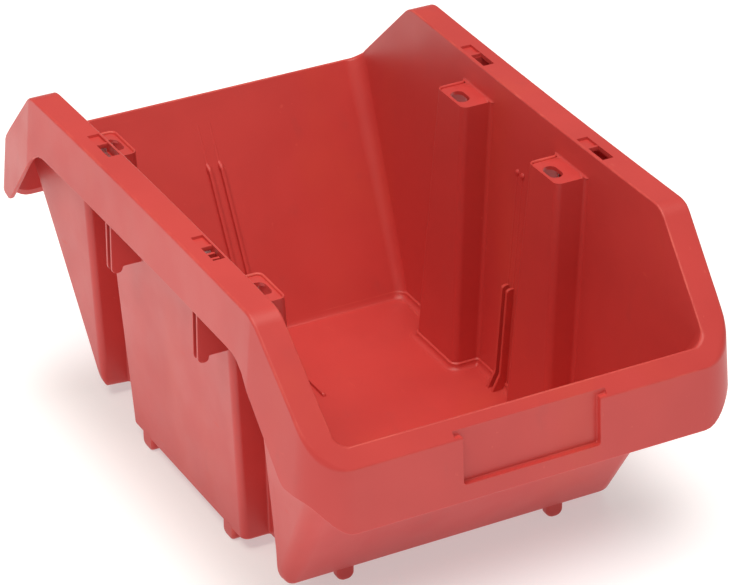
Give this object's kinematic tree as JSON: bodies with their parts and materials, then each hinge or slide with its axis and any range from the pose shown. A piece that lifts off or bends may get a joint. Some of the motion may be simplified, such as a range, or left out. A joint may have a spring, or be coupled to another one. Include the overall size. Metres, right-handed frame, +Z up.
{
  "type": "stackable storage bin",
  "caption": "Open-top plastic parts bin with low sloping ends at front and back, a deep turned-down rim and hollow side columns that take the feet of a bin stacked above.",
  "frame": {"origin": "on the surface that the feet stand on, under the middle of the bin's box", "axes": "+X to the right seen from the label end, +Y from the label end to the back, +Z up"},
  "size_m": [0.2314, 0.3574, 0.1675],
  "materials": {
    "red_polypropylene": "semi-gloss injection moulded, fine grain"
  },
  "bodies": {
    "root": {"back_divider_guide": "red_polypropylene", "back_left_end_foot": "red_polypropylene", "back_lip": "red_polypropylene", "back_right_end_foot": "red_polypropylene", "back_wall": "red_polypropylene", "floor_panel": "red_polypropylene", "front_divider_guide": "red_polypropylene", "front_left_end_foot": "red_polypropylene", "front_lip": "red_polypropylene", "front_right_end_foot": "red_polypropylene", "front_wall": "red_polypropylene", "left_back_column": "red_polypropylene", "left_back_foot": "red_polypropylene", "left_back_hanger_webs": "red_polypropylene", "left_back_rim_slope": "red_polypropylene", "left_divider_guide": "red_polypropylene", "left_front_column": "red_polypropylene", "left_front_foot": "red_polypropylene", "left_front_hanger_webs": "red_polypropylene", "left_front_rim_slope": "red_polypropylene", "left_rim": "red_polypropylene", "left_wall_back": "red_polypropylene", "left_wall_front": "red_polypropylene", "left_wall_middle": "red_polypropylene", "right_back_column": "red_polypropylene", "right_back_foot": "red_polypropylene", "right_back_hanger_webs": "red_polypropylene", "right_back_rim_slope": "red_polypropylene", "right_divider_guide": "red_polypropylene", "right_front_column": "red_polypropylene", "right_front_foot": "red_polypropylene", "right_front_hanger_webs": "red_polypropylene", "right_front_rim_slope": "red_polypropylene", "right_rim": "red_polypropylene", "right_wall_back": "red_polypropylene", "right_wall_front": "red_polypropylene", "right_wall_middle": "red_polypropylene"}
  },
  "joints": []
}
